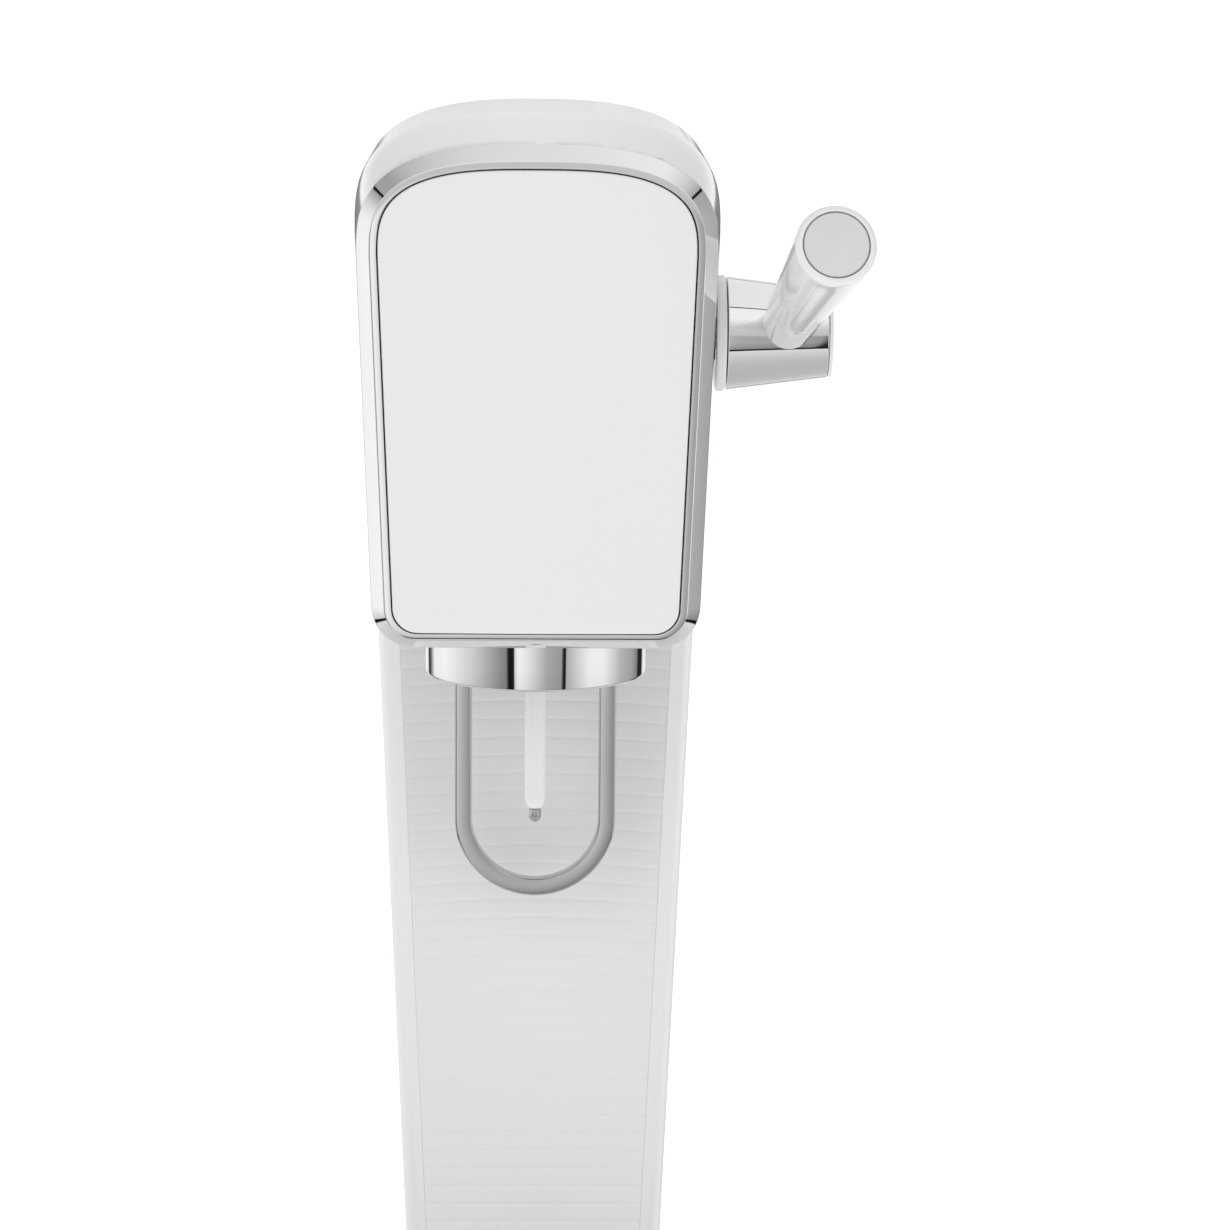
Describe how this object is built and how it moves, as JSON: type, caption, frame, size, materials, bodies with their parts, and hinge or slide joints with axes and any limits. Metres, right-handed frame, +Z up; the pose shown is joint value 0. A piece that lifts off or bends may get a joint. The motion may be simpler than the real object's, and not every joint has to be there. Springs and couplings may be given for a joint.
{
  "type": "soda carbonator",
  "caption": "Tall narrow manual soda carbonator: rounded head with chrome bezel on a tapering ribbed column, side pull lever, bottle collar with nozzle and rear loop, low base.",
  "frame": {"origin": "centre of the bottom of the bounding box, on the counter under the feet", "axes": "+Z up, -Y towards the user, +X to the user's right, where the lever is"},
  "size_m": [0.1522, 0.222, 0.434],
  "materials": {
    "gloss_white": "glossy moulded plastic",
    "satin_white": "satin moulded plastic",
    "matt_white": "matt moulded plastic",
    "chrome": "polished plating",
    "brushed_silver": "turned, fine circular lines",
    "satin_steel": "satin",
    "zinc_steel": "zinc plated sheet",
    "brass": "turned",
    "bronze": "sintered bronze",
    "cylinder_blue": "semi-gloss paint",
    "grey_nylon": "moulded nylon",
    "black_rubber": "matt",
    "grey_rubber": "matt",
    "clear_white": "translucent natural plastic"
  },
  "bodies": {
    "main": {"body_shell": "gloss_white", "front_bezel": "chrome", "front_panel": "satin_white", "front_carrier": "matt_white", "column_front": "satin_white", "base_shell": "gloss_white", "base_plate": "matt_white", "escutcheon_ring": "gloss_white", "shaft_bush_left": "bronze", "shaft_bush_right": "bronze", "lever_spring": "satin_steel", "mechanism_frame": "zinc_steel", "frame_screw_1": "zinc_steel", "frame_screw_2": "zinc_steel", "rocker_pin": "satin_steel", "plunger_spring": "satin_steel", "gas_valve_housing": "grey_nylon", "co2_cylinder": "cylinder_blue", "cylinder_valve": "brass", "valve_pin": "satin_steel", "cylinder_seat": "grey_rubber", "chassis_plate": "zinc_steel", "chassis_screw_1": "zinc_steel", "chassis_screw_2": "zinc_steel", "gas_hose": "clear_white", "holder_pin_left": "satin_steel", "holder_pin_right": "satin_steel", "base_screw_1": "zinc_steel", "foot_1": "black_rubber", "base_screw_2": "zinc_steel", "foot_2": "black_rubber", "base_screw_3": "zinc_steel", "foot_3": "black_rubber", "base_screw_4": "zinc_steel", "foot_4": "black_rubber"},
    "rear_cover_body": {"rear_cover": "gloss_white"},
    "lever": {"lever_hub": "chrome", "hub_end_cap": "gloss_white", "grip_ferrule": "gloss_white", "lever_grip": "gloss_white", "grip_end_disc": "brushed_silver", "lever_shaft": "satin_steel", "lever_cam": "grey_nylon"},
    "rocker": {"rocker_arm": "zinc_steel"},
    "plunger": {"valve_plunger": "satin_steel"},
    "connect_handle": {"quick_connect_handle": "gloss_white"},
    "bottle_lock": {"lock_collar": "chrome", "bottle_holder": "matt_white", "carbonating_head": "matt_white", "bottle_seal": "grey_rubber", "nozzle_tube": "clear_white", "nozzle_tip": "satin_steel", "rear_loop": "chrome", "relief_valve": "brass", "exhaust_valve": "brass"},
    "jaw_left": {"bottle_jaw_left": "satin_steel"},
    "jaw_right": {"bottle_jaw_right": "satin_steel"},
    "tray": {"drip_tray": "satin_steel"}
  },
  "joints": [
    {"name": "lever_pull", "type": "hinge", "parent": "main", "child": "lever", "pos_m": [-0.02005, 0.006, 0.3672], "axis": [1, 0, 0], "range_deg": [0, 45], "stiffness_Nm_per_rad": 0.6, "springref_deg": -34.38},
    {"name": "rocker_turn", "type": "hinge", "parent": "main", "child": "rocker", "pos_m": [-0.02005, 0.036, 0.3827], "axis": [1, 0, 0], "range_deg": [-5.2, 0]},
    {"name": "plunger_slide", "type": "slide", "parent": "main", "child": "plunger", "axis": [0, 0, -1], "range_m": [0, 0.0031], "deforming": ["plunger_spring"]},
    {"name": "connect_turn", "type": "hinge", "parent": "main", "child": "connect_handle", "pos_m": [-0.02005, 0.073, 0.3536], "axis": [1, 0, 0], "range_deg": [0, 50]},
    {"name": "holder_tilt", "type": "hinge", "parent": "main", "child": "bottle_lock", "pos_m": [-0.02005, 0.005, 0.3], "axis": [-1, 0, 0], "range_deg": [0, 12]},
    {"name": "jaw_left_slide", "type": "slide", "parent": "bottle_lock", "child": "jaw_left", "axis": [-1, 0, 0], "range_m": [0, 0.0026]},
    {"name": "jaw_right_slide", "type": "slide", "parent": "bottle_lock", "child": "jaw_right", "axis": [1, 0, 0], "range_m": [0, 0.0026]},
    {"name": "rear_cover_pull", "type": "slide", "parent": "main", "child": "rear_cover_body", "axis": [0, 1, 0], "range_m": [0, 0.06]},
    {"name": "tray_lift", "type": "slide", "parent": "main", "child": "tray", "axis": [0, 0, 1], "range_m": [0, 0.03]}
  ],
  "couplings": [
    {"joint": "rocker_turn", "follows": "lever_pull", "ratio": -0.106},
    {"joint": "plunger_slide", "follows": "lever_pull", "m_per_rad": 0.0038},
    {"joint": "jaw_left_slide", "follows": "holder_tilt", "m_per_rad": 0.0119},
    {"joint": "jaw_right_slide", "follows": "holder_tilt", "m_per_rad": 0.0119}
  ]
}
